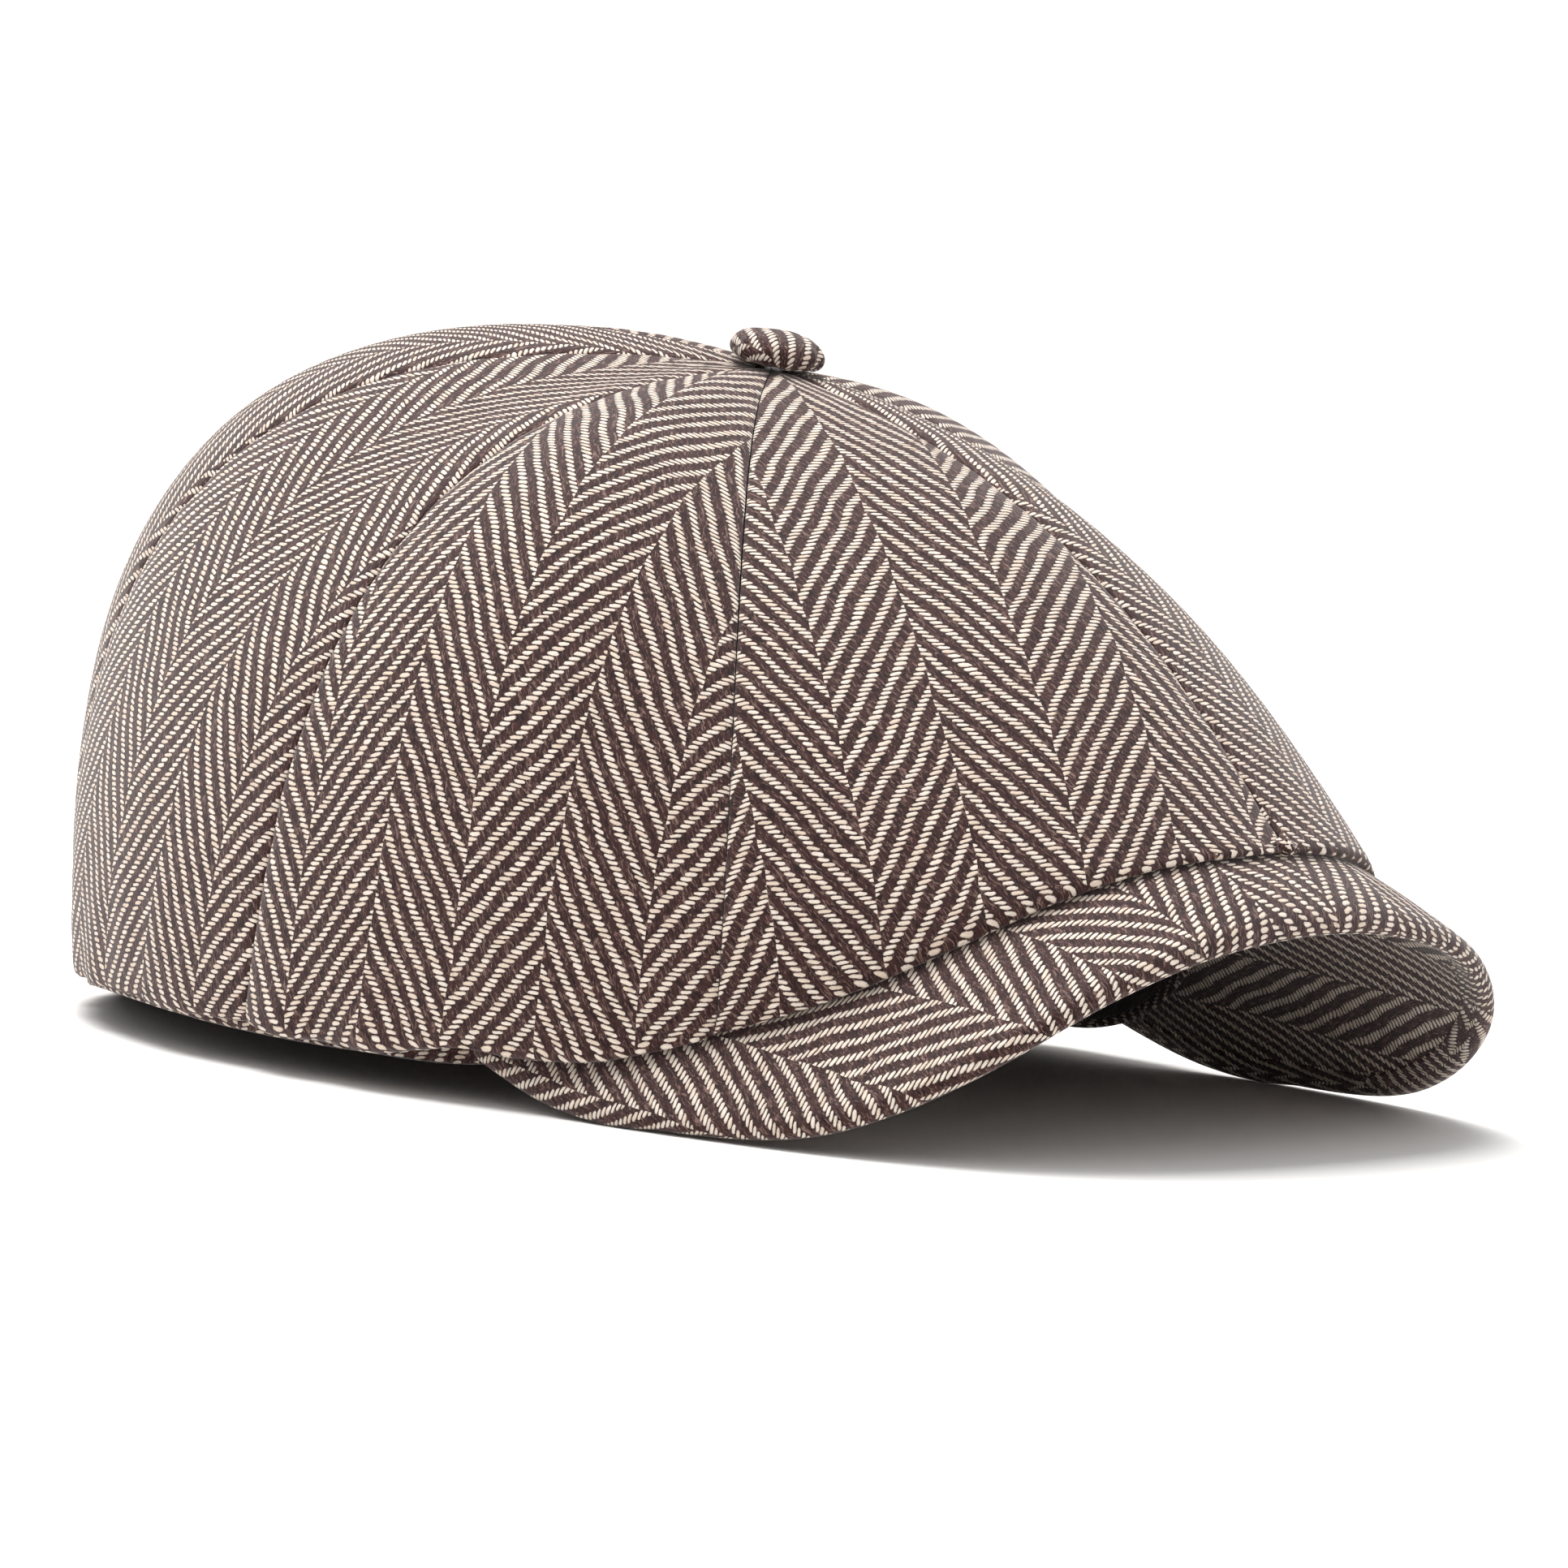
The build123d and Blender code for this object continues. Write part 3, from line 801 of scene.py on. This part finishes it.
class CAP_OT_button(Operator):
    """Cover the button with gathered tweed and wind the thread under it"""

    bl_idname = "cap.button"
    bl_label = "Button"

    def execute(self, context):
        made = bpy.data.materials
        self.cover(made["wool_herringbone_tweed"])
        self.coil(made["polyester_sewing_thread"])
        return {"FINISHED"}

    def cover(self, tweed):
        """The spun cover, its cloth drawn in from the middle so that the weave crosses the top straight."""
        bm = bmesh.new()
        line = [bm.verts.new((r, 0, z)) for r, z in BUTTON_PROFILE]
        for a, b in zip(line, line[1:]):
            bm.edges.new((a, b))
        bmesh.ops.spin(bm, geom=bm.verts[:] + bm.edges[:], cent=(0, 0, 0), axis=(0, 0, 1), angle=2 * pi,
                       steps=BUTTON_STEPS, use_merge=True)
        bmesh.ops.remove_doubles(bm, verts=bm.verts, dist=1e-4)
        bmesh.ops.recalc_face_normals(bm, faces=bm.faces)
        lengths = running([Vector((r, 0, z)) for r, z in BUTTON_PROFILE])
        layer = bm.loops.layers.uv.new("weave")
        for face in bm.faces:
            for loop in face.loops:
                p = loop.vert.co
                gaps = [(r - p.xy.length) ** 2 + (z - p.z) ** 2 for r, z in BUTTON_PROFILE]
                near = lengths[gaps.index(min(gaps))]
                spin = atan2(p.y, p.x)
                loop[layer].uv = (near * cos(spin) + WEAVE_START + LEG / 2, near * sin(spin))
        for v in bm.verts:
            r = v.co.xy.length
            spin = atan2(v.co.y, v.co.x)
            waves = sum(height * sin(count * spin + turn) for height, count, turn in GATHERS)
            gather = smooth_step((r - GATHER_START) / GATHER_GROWTH) * waves
            v.co += v.normal * (gather + 0.25 * noise.noise(v.co / 4))
        face_outward(bm, Vector((0, 0, 2)))
        bmesh.ops.transform(bm, matrix=BUTTON_PLACE, verts=bm.verts)
        cover = finish_piece(bm, "button_cover", tweed, "cap", ["button_cloth"])
        thicken(cover, BUTTON_CLOTH * MM)

    def coil(self, thread):
        """The thread wound round the shank."""
        bm = bmesh.new()
        upright = Matrix.Translation(COIL_START) @ Matrix.Rotation(pi / 2, 4, "X")
        bmesh.ops.create_circle(bm, segments=8, radius=COIL_THREAD, cap_ends=False, matrix=upright)
        bmesh.ops.spin(bm, geom=bm.verts[:] + bm.edges[:], cent=(0, 0, 0), axis=(0, 0, 1),
                       dvec=(0, 0, COIL_PITCH * COIL_TURNS / COIL_STEPS), angle=2 * pi * COIL_TURNS,
                       steps=COIL_STEPS)
        bmesh.ops.holes_fill(bm, edges=bm.edges, sides=8)
        bmesh.ops.recalc_face_normals(bm, faces=bm.faces)
        bmesh.ops.transform(bm, matrix=BUTTON_PLACE, verts=bm.verts)
        finish_piece(bm, "shank_thread", thread, "cap", ["button_thread"])


# ---- materials ----


def add_node(tree, kind, *inputs, sockets=None, **settings):
    """Adds one node. Inputs fill its sockets in order, sockets fills them by name, settings are its own."""
    node = tree.nodes.new("ShaderNode" + kind)
    for key, value in settings.items():
        setattr(node, key, value)
    named = list(enumerate(inputs)) + list((sockets or {}).items())
    for key, source in named:
        if isinstance(source, bpy.types.Node):
            source = next(o for o in source.outputs if o.enabled)
        if isinstance(source, bpy.types.NodeSocket):
            tree.links.new(source, node.inputs[key])
        else:
            node.inputs[key].default_value = source
    return node


def new_material(name):
    """An empty material, and the function that adds a node to it."""
    material = bpy.data.materials.new(name)
    material.use_nodes = True
    material.node_tree.nodes.clear()
    return material, partial(add_node, material.node_tree)


def millimetres(add):
    """Object coordinates in millimetres."""
    return add("VectorMath", add("TexCoord").outputs["Object"], (1 / MM,) * 3, operation="MULTIPLY")


def surface(add, colour, roughness, bump=None, **named):
    """The shader and its output. Every value may be a node; named ones go to the sockets of their names."""
    sockets = {"Base Color": colour, "Roughness": roughness}
    sockets.update({name.replace("_", " "): value for name, value in named.items()})
    if bump:
        sockets["Normal"] = bump
    shader = add("BsdfPrincipled", sockets=sockets)
    add("OutputMaterial", shader)


def tweed_material(colours):
    """Wool tweed woven as a three-and-three herringbone.

    Plump cream weft floats lie in diagonal rows over a fuzzy brown warp, so the eye sees a raised zigzag of
    separate grains with soft matt edges, their cream darkened toward each border by painted shade.
    """
    _, add = new_material("wool_herringbone_tweed")
    uv = add("UVMap", uv_map="weave")
    # The yarns wander: slowly over a centimetre, and a little from thread to thread
    slow = add("TexNoise", sockets={"Vector": uv, "Scale": 0.085, "Detail": 1.0})
    fast = add("TexNoise", sockets={"Vector": uv, "Scale": 0.55, "Detail": 1.0})
    slow = add("VectorMath", slow.outputs["Color"], (0.5, 0.5, 0.5), operation="SUBTRACT")
    fast = add("VectorMath", fast.outputs["Color"], (0.5, 0.5, 0.5), operation="SUBTRACT")
    slow = add("VectorMath", slow, (2.2, 2.2, 0), uv, operation="MULTIPLY_ADD")
    warped = add("VectorMath", fast, (0.34, 0.4, 0), slow, operation="MULTIPLY_ADD")
    split = add("SeparateXYZ", warped)
    u, v = split.outputs["X"], split.outputs["Y"]
    # Legs: the ends are counted up one leg and down the next; alternate legs start half a repeat on
    folded = add("Math", u, LEG, operation="PINGPONG")
    leg = add("Math", add("Math", u, LEG, operation="DIVIDE"), operation="FLOOR")
    odd = add("Math", leg, 2.0, operation="FLOORED_MODULO")
    q = add("Math", folded, END, operation="DIVIDE")
    p = add("Math", v, PICK, operation="DIVIDE")
    diagonal = add("Math", q, p, operation="SUBTRACT")
    diagonal = add("Math", odd, REPEAT / 2, diagonal, operation="MULTIPLY_ADD")
    stripe = add("Math", add("Math", diagonal, REPEAT, operation="DIVIDE"), operation="FLOOR")
    w = add("Math", diagonal, REPEAT, operation="FLOORED_MODULO")
    w = add("Math", w, REPEAT / 2, operation="SUBTRACT")
    # Each float tilts toward its diagonal, so the rows are sheared within a stripe
    row = add("Math", w, -0.12, p, operation="MULTIPLY_ADD")
    count = add("Math", row, operation="FLOOR")
    height = add("Math", row, operation="FRACT")
    height = add("Math", height, 0.5, operation="SUBTRACT")
    rise = add("Math", p, count, operation="SUBTRACT")
    rise = add("Math", rise, 0.5, operation="SUBTRACT")
    along = add("Math", w, rise, operation="ADD")
    # Yarn thickness and length vary from float to float
    key = add("CombineXYZ", leg, stripe, count)
    chance = add("TexWhiteNoise", key, noise_dimensions="3D")
    chances = add("SeparateXYZ", chance.outputs["Color"])
    length = add("MapRange", chances.outputs["X"], 0.0, 1.0, 1.5, 1.78)
    plump = add("MapRange", chances.outputs["Y"], 0.0, 1.0, 0.36, 0.45)
    a = add("Math", add("Math", along, length, operation="DIVIDE"), operation="ABSOLUTE")
    b = add("Math", add("Math", height, plump, operation="DIVIDE"), operation="ABSOLUTE")
    a_round = add("Math", a, 2.6, operation="POWER")
    b_round = add("Math", b, 2.3, operation="POWER")
    shape = add("Math", a_round, b_round, operation="ADD")
    # Fuzz eats into the outline of each float
    hairs = add("TexNoise", sockets={"Vector": warped, "Scale": 3.4, "Detail": 3.0, "Roughness": 0.65})
    ragged = add("MapRange", hairs.outputs[0], 0.3, 0.7, -0.28, 0.28)
    shape = add("Math", shape, ragged, operation="ADD")
    float_mask = add("MapRange", shape, 0.74, 1.02, 1.0, 0.0, interpolation_type="SMOOTHSTEP")
    dome = add("MapRange", shape, 0.0, 1.1, 1.0, 0.0)
    dome = add("Math", dome, 0.6, operation="POWER")
    # Twist of the cream yarn: fine streaks along the float
    streak_place = add("CombineXYZ", add("Math", along, 0.9, operation="MULTIPLY"),
                       add("Math", height, 7.0, operation="MULTIPLY"),
                       add("Math", chances.outputs["Z"], 60.0, operation="MULTIPLY"))
    streak = add("TexNoise", sockets={"Vector": streak_place, "Scale": 1.3, "Detail": 2.0})
    # Brown warp: ribs along the ends with long loose fibres
    rib = add("Math", add("Math", q, 2 * pi, operation="MULTIPLY"), operation="COSINE")
    twist = add("VectorRotate", warped, sockets={"Angle": radians(32)}, rotation_type="Z_AXIS")
    fibre_place = add("VectorMath", twist, (1.7, 0.5, 1.0), operation="MULTIPLY")
    fibre = add("TexNoise", sockets={"Vector": fibre_place, "Scale": 1.0, "Detail": 4.0, "Roughness": 0.7,
                                     "Distortion": 0.6})
    # Colours
    tone = add("MapRange", chance.outputs["Value"], 0.35, 1.0, 0.0, 0.85)
    light = add("Mix", data_type="RGBA",
                sockets={0: tone, 6: tuple(colours.cream), 7: tuple(colours.straw)}).outputs[2]
    shade = add("MapRange", streak.outputs[0], 0.25, 0.75, 0.82, 1.16)
    light = add("VectorMath", light, sockets={"Scale": shade}, operation="SCALE")
    deep = add("MapRange", fibre.outputs[0], 0.38, 0.58, 0.0, 1.0)
    dark = add("Mix", data_type="RGBA",
               sockets={0: deep, 6: tuple(colours.umber), 7: tuple(colours.brown)}).outputs[2]
    # A few paler fibres lie loose across the warp
    loose_place = add("VectorMath", twist, (2.2, 0.55, 1.0), operation="MULTIPLY")
    loose = add("TexNoise", sockets={"Vector": loose_place, "Scale": 1.0, "Detail": 3.0, "Roughness": 0.7,
                                     "Distortion": 1.2})
    loose = add("MapRange", loose.outputs[0], 0.54, 0.64, 0.0, 0.85)
    dark = add("Mix", data_type="RGBA", sockets={0: loose, 6: dark, 7: tuple(colours.heather)}).outputs[2]
    # Painted shade: each cream float darkens to half its colour toward its border, where it dips between its
    # neighbours
    edge = add("MapRange", dome, 0.0, 0.55, 0.5, 1.0)
    light = add("VectorMath", light, sockets={"Scale": edge}, operation="SCALE")
    colour = add("Mix", data_type="RGBA", sockets={0: float_mask, 6: dark, 7: light}).outputs[2]
    # Height: floats stand proud, warp ribs lie lower, fibres roughen both
    low = add("Math", rib, 0.1, fibre.outputs[0], operation="MULTIPLY_ADD")
    low = add("Math", low, 0.4, operation="MULTIPLY")
    high = add("Math", streak.outputs[0], 0.25, dome, operation="MULTIPLY_ADD")
    level = add("Mix", data_type="FLOAT", sockets={0: float_mask, 2: low, 3: high}).outputs[0]
    bump = add("Bump", sockets={"Height": level, "Strength": 1.0, "Distance": 0.3 * MM})
    surface(add, colour, 0.88, bump, Sheen_Weight=0.25, Sheen_Roughness=0.45, Specular_IOR_Level=0.25)


def satin_material():
    """Acetate satin woven smooth: a soft lengthways sheen over very fine threads."""
    _, add = new_material("acetate_satin_lining")
    uv = add("UVMap", uv_map="weave")
    thread = add("VectorMath", uv, (5.0, 0.5, 1.0), operation="MULTIPLY")
    grain = add("TexNoise", sockets={"Vector": thread, "Scale": 1.0, "Detail": 2.0})
    cloud = add("TexNoise", sockets={"Vector": uv, "Scale": 0.06, "Detail": 2.0})
    colour = add("Mix", data_type="RGBA",
                 sockets={0: cloud.outputs[0], 6: linear("#3a2b28"), 7: linear("#4a3833")}).outputs[2]
    rough = add("MapRange", grain.outputs[0], 0.3, 0.7, 0.3, 0.42)
    bump = add("Bump", sockets={"Height": grain.outputs[0], "Strength": 0.5, "Distance": 0.05 * MM})
    surface(add, colour, rough, bump, Anisotropic=0.5, Sheen_Weight=0.1)


def twill_material(name, thread_colour, groove_shade_colour, spacing, roughness):
    """Cotton twill: fine diagonal ridges, matt, darker in the grooves and paler on the ridges by painted
    shade and light that follow the ridge height.
    """
    _, add = new_material(name)
    uv = add("UVMap", uv_map="weave")
    wander = add("TexNoise", sockets={"Vector": uv, "Scale": 0.4, "Detail": 2.0})
    split = add("SeparateXYZ", uv)
    diagonal = add("Math", split.outputs["X"], split.outputs["Y"], operation="ADD")
    diagonal = add("Math", wander.outputs[0], 0.3, diagonal, operation="MULTIPLY_ADD")
    ridge = add("Math", diagonal, 2 * pi / spacing, operation="MULTIPLY")
    ridge = add("Math", ridge, operation="SINE")
    pile = add("TexNoise", sockets={"Vector": uv, "Scale": 2.5, "Detail": 3.0})
    high = add("MapRange", ridge, -1.0, 1.0, 0.0, 1.0)
    level = add("Math", pile.outputs[0], high, operation="ADD")
    mix = add("MapRange", level, 0.5, 1.5, 0.0, 1.0)
    # Painted shade and light: the colour darkens in the grooves and pales on the ridges, following the bump's
    # height, with random tone from the pile
    colour = add("Mix", data_type="RGBA",
                 sockets={0: mix, 6: linear(groove_shade_colour), 7: linear(thread_colour)}).outputs[2]
    bump = add("Bump", sockets={"Height": level, "Strength": 0.8, "Distance": 0.12 * MM})
    surface(add, colour, roughness, bump, Sheen_Weight=0.15, Specular_IOR_Level=0.3)


def thread_material():
    """Spun polyester sewing thread: smooth twisted plies with a faint shine."""
    _, add = new_material("polyester_sewing_thread")
    place = millimetres(add)
    ply = add("TexWave", sockets={"Vector": place, "Scale": 1.2, "Distortion": 0.6},
              bands_direction="DIAGONAL")
    # Painted shade and light: the colour darkens in the grooves between the plies and pales on their crests,
    # following the same bands as the bump
    colour = add("Mix", data_type="RGBA",
                 sockets={0: ply.outputs["Fac"], 6: linear("#4b3a36"), 7: linear("#7a645b")}).outputs[2]
    bump = add("Bump", sockets={"Height": ply.outputs["Fac"], "Strength": 0.6, "Distance": 0.06 * MM})
    surface(add, colour, 0.5, bump, Sheen_Weight=0.1)


def tinplate_material():
    """Pressed tinplate: bright bare steel with fine draw marks and dull specks."""
    material, add = new_material("pressed_tinplate")
    place = millimetres(add)
    drawn = add("VectorMath", place, (0.4, 0.4, 6.0), operation="MULTIPLY")
    marks = add("TexNoise", sockets={"Vector": drawn, "Scale": 1.0, "Detail": 4.0})
    rough = add("MapRange", marks.outputs[0], 0.3, 0.7, 0.28, 0.45)
    colour = add("Mix", data_type="RGBA",
                 sockets={0: marks.outputs[0], 6: linear("#b9bab8"), 7: linear("#d7d7d3")}).outputs[2]
    bump = add("Bump", sockets={"Height": marks.outputs[0], "Strength": 0.3, "Distance": 0.03 * MM})
    surface(add, colour, rough, bump, Metallic=1.0)
    return material


def board_material():
    """Die-cut polyethylene sheet: waxy, slightly mottled, with a fine calendered grain."""
    material, add = new_material("polyethylene_peak_board")
    place = millimetres(add)
    grain = add("TexNoise", sockets={"Vector": place, "Scale": 0.8, "Detail": 5.0})
    rough = add("MapRange", grain.outputs[0], 0.3, 0.7, 0.38, 0.52)
    colour = add("Mix", data_type="RGBA",
                 sockets={0: grain.outputs[0], 6: linear("#26221f"), 7: linear("#322d2a")}).outputs[2]
    bump = add("Bump", sockets={"Height": grain.outputs[0], "Strength": 0.3, "Distance": 0.05 * MM})
    surface(add, colour, rough, bump)
    return material


class CAP_OT_finishes(Operator):
    """Mix the cloth, thread, metal and board finishes, and put them on the hard frame parts"""

    bl_idname = "cap.finishes"
    bl_label = "Finishes"

    def execute(self, context):
        tweed_material(context.scene.cap_colours)
        satin_material()
        twill_material("cotton_twill_sweatband", "#43342f", "#241b19", 0.9, 0.8)
        twill_material("cotton_stay_tape", "#cfc6b4", "#a89f8f", 0.7, 0.85)
        thread_material()
        metal = tinplate_material()
        board = board_material()
        for node, finish in (("button_shell", metal), ("button_back", metal), ("peak_board", board)):
            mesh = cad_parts[node].data
            mesh.materials.clear()
            mesh.materials.append(finish)
        return {"FINISHED"}


# ---- stage ----

AZIMUTH, ELEVATION, ROLL = radians(-50), radians(4.2), radians(3.86)
AIM = Vector((0, -20, 55))
DISTANCE = 1533.0
LENS = 208.3
FRAMING = Vector((5.97, -7.1))

# Each lamp, in metres: its size, then its place to the camera's right, toward the camera and up
LAMPS = {"Key": (1.3, -0.35, -0.3, 1.6), "Fill": (1.2, -1.4, 0.5, 0.7)}
SKY_LOW = 0.2
SKY_FULL_HEIGHT = 0.8
BACKDROP = 1.02
FLOOR_HALF = 12
FLOOR_DROP = 0.45
GLOW_FROM, GLOW_TO, GLOW = 0.3, 1.0, 0.5


class CAP_OT_stage(Operator):
    """Lay the pale floor, hang the soft lights and set up the camera"""

    bl_idname = "cap.stage"
    bl_label = "Stage"

    def execute(self, context):
        scene = context.scene
        scene.view_settings.view_transform = "Standard"
        back = Vector((sin(AZIMUTH) * cos(ELEVATION), -cos(AZIMUTH) * cos(ELEVATION), sin(ELEVATION)))
        right = Vector((cos(AZIMUTH), sin(AZIMUTH), 0))
        up = back.cross(right)
        rolled_right = right * cos(ROLL) + up * sin(ROLL)
        rolled_up = up * cos(ROLL) - right * sin(ROLL)
        lens = bpy.data.cameras.new("Camera")
        lens.lens = LENS
        lens.sensor_width = 36
        lens.clip_end = 50
        camera = bpy.data.objects.new("Camera", lens)
        scene.collection.objects.link(camera)
        spot = AIM + back * DISTANCE
        aim = AIM + rolled_right * FRAMING.x + rolled_up * FRAMING.y
        view = (spot - aim).normalized()
        side = (rolled_right - view * rolled_right.dot(view)).normalized()
        top = view.cross(side)
        place = Matrix((side, top, view)).transposed().to_4x4()
        camera.matrix_world = Matrix.Translation(spot * MM) @ place
        scene.camera = camera
        self.floor(scene)
        stage = scene.cap_stage
        for name, power in (("Key", stage.key), ("Fill", stage.fill)):
            size, across, toward, height = LAMPS[name]
            self.lamp(scene, name, power, size, right * across + back * toward + Vector((0, 0, height)))
        self.surroundings(scene, stage.sky)
        return {"FINISHED"}

    def surroundings(self, scene, strength):
        """Sky light that brightens upward; the camera itself sees plain white past the paper."""
        world = bpy.data.worlds.new("White surroundings")
        world.use_nodes = True
        world.node_tree.nodes.clear()
        add = partial(add_node, world.node_tree)
        ray = add("TexCoord").outputs["Generated"]
        split = add("SeparateXYZ", ray)
        sky = add("MapRange", split.outputs["Z"], 0.0, SKY_FULL_HEIGHT, SKY_LOW * strength, strength)
        seen = add("LightPath").outputs["Is Camera Ray"]
        glow = add("Mix", data_type="FLOAT", sockets={0: seen, 2: sky, 3: BACKDROP})
        add("OutputWorld", add("Background", (1, 1, 1, 1), glow))
        scene.world = world

    def floor(self, scene):
        """White paper, which glows a little away from the cap so that it meets the backdrop unseen."""
        bm = bmesh.new()
        bmesh.ops.create_grid(bm, x_segments=2, y_segments=2, size=FLOOR_HALF)
        mesh = bpy.data.meshes.new("Floor")
        bm.to_mesh(mesh)
        bm.free()
        material, add = new_material("seamless_paper")
        where = add("TexCoord").outputs["Object"]
        tooth = add("TexNoise", sockets={"Vector": where, "Scale": 900.0, "Detail": 2.0})
        bump = add("Bump", sockets={"Height": tooth.outputs[0], "Strength": 0.1, "Distance": 0.05 * MM})
        ring = add("VectorMath", where, operation="LENGTH").outputs["Value"]
        glow = add("MapRange", ring, GLOW_FROM, GLOW_TO, 0.0, GLOW, interpolation_type="SMOOTHSTEP")
        white = linear("#fbfaf8")
        surface(add, white, 0.9, bump, Emission_Color=white, Emission_Strength=glow)
        mesh.materials.append(material)
        floor = bpy.data.objects.new("Floor", mesh)
        floor.location.z = CAD_BOX[0][2] - FLOOR_DROP * MM
        scene.collection.objects.link(floor)

    def lamp(self, scene, name, power, size, place):
        light = bpy.data.lights.new(name, "AREA")
        light.energy = power
        light.size = size
        lamp = bpy.data.objects.new(name, light)
        scene.collection.objects.link(lamp)
        lamp.location = place
        lamp.rotation_mode = "QUATERNION"
        lamp.rotation_quaternion = (place - AIM * MM).to_track_quat("Z", "Y")


# ---- add-on ----


class CAP_PT_panel(Panel):
    """Buttons for each part of the cap"""

    bl_idname = "CAP_PT_panel"
    bl_label = "Newsboy cap"
    bl_space_type = "VIEW_3D"
    bl_region_type = "UI"
    bl_category = "Newsboy cap"

    def draw(self, context):
        for group in (context.scene.cap_sizes, context.scene.cap_colours, context.scene.cap_stage):
            for name in group.__annotations__:
                self.layout.prop(group, name)
        for step in STEPS:
            self.layout.operator(step.bl_idname)


STEPS = (CAP_OT_finishes, CAP_OT_crown, CAP_OT_lining, CAP_OT_bands, CAP_OT_peak, CAP_OT_button, CAP_OT_stage)
CLASSES = (CapSizes, CapColours, StageSizes, *STEPS, CAP_PT_panel)


def register():
    for item in CLASSES:
        bpy.utils.register_class(item)
    bpy.types.Scene.cap_sizes = PointerProperty(type=CapSizes)
    bpy.types.Scene.cap_colours = PointerProperty(type=CapColours)
    bpy.types.Scene.cap_stage = PointerProperty(type=StageSizes)


def unregister():
    del bpy.types.Scene.cap_stage
    del bpy.types.Scene.cap_colours
    del bpy.types.Scene.cap_sizes
    for item in reversed(CLASSES):
        bpy.utils.unregister_class(item)


def main():
    register()
    bpy.ops.cap.finishes()
    bpy.ops.cap.crown()
    bpy.ops.cap.lining()
    bpy.ops.cap.bands()
    bpy.ops.cap.peak()
    bpy.ops.cap.button()
    bpy.ops.cap.stage()


if __name__ == "__main__":
    main()
